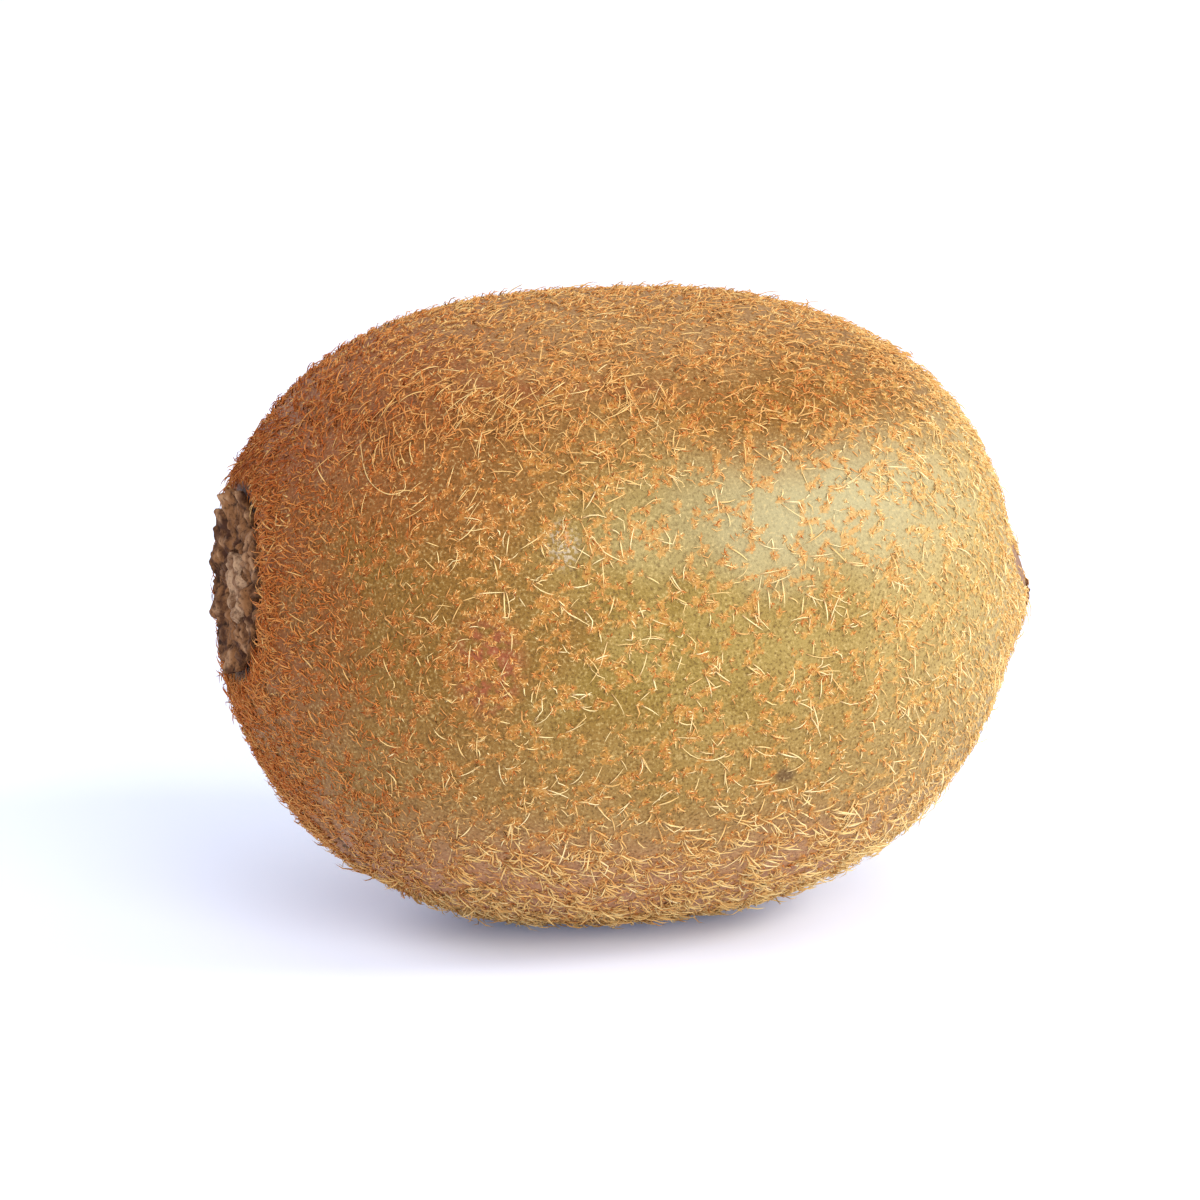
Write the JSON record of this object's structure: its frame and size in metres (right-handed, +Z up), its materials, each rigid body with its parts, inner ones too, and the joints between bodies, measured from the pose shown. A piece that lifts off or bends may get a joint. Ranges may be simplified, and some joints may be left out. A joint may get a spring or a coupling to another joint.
{
  "type": "kiwi fruit",
  "caption": "Whole brown kiwi fruit lying on its side, with a fuzzy skin, a dried calyx at the stem end and a nub at the blossom end.",
  "frame": {"origin": "on the small flat spot that the fruit rests on, under the middle of its length", "axes": "+X along the fruit's long axis towards the blossom end, with the dried calyx at -X, and +Z up as it lies"},
  "size_m": [0.0673, 0.0549, 0.0505],
  "materials": {
    "skin": "matte, thin olive-brown skin under coarse tan fuzz",
    "dried_calyx": "matte, dark brown and papery",
    "dried_stalk": "matte, pale and corky",
    "dried_style": "matte, dark brown and dry"
  },
  "bodies": {
    "root": {"fruit": "skin", "calyx": "dried_calyx", "stalk_stub": "dried_stalk", "dried_styles": "dried_style"}
  },
  "joints": []
}
